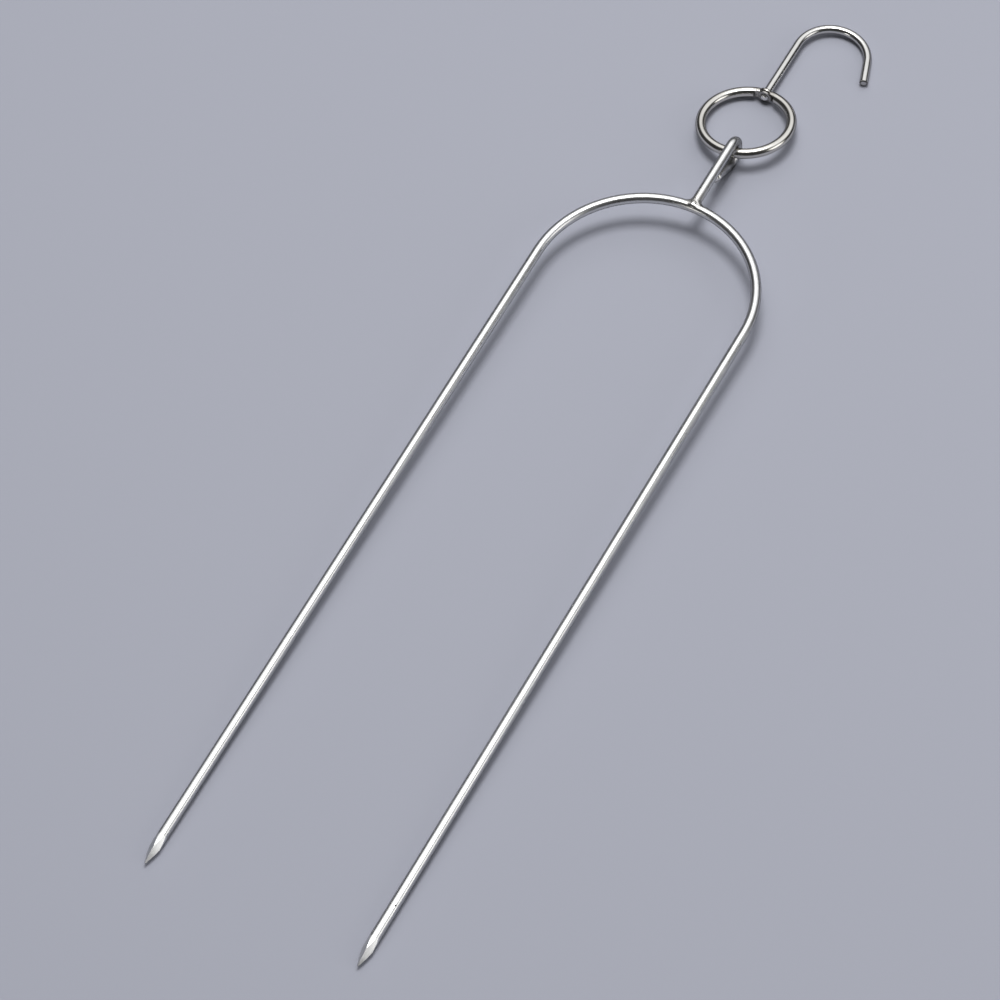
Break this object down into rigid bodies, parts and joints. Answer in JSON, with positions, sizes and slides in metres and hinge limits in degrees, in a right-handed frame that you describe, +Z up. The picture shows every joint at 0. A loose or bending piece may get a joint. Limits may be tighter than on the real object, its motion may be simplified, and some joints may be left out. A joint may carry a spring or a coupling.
{
  "type": "duck roasting fork",
  "caption": "Hanging roasting fork of round rod: a wide U of pointed prongs with a short shank and eye, a loose ring in the eye and a swivel hook on the ring.",
  "frame": {"origin": "on the table under the middle of the whole length, as the fork lies in the picture", "axes": "+Y from the prongs' tips towards the hook, +X to the right when seen from above with the hook away, +Z up"},
  "size_m": [0.1364, 0.6656, 0.022],
  "materials": {
    "rod": "polished stainless round rod",
    "ring": "polished stainless bar, pressed flat at the pad",
    "washer": "plain stainless washer",
    "weld": "weld bead, brushed after welding"
  },
  "bodies": {
    "fork": {"fork_rod": "rod", "hanger_rod": "rod", "shank_weld": "weld", "eye_weld": "weld"},
    "ring": {"ring": "ring", "rivet_washer": "washer"},
    "hook": {"hook": "rod"}
  },
  "joints": [
    {"name": "ring_swing", "type": "hinge", "parent": "fork", "child": "ring", "pos_m": [0, 0.21338, 0.011], "axis": [0.9839, 0.165, 0.0681], "range_deg": [-170, 170]},
    {"name": "hook_swivel", "type": "hinge", "parent": "ring", "child": "hook", "pos_m": [-0.00413, 0.26569, 0.00478], "axis": [0, 1, 0], "continuous": true}
  ]
}
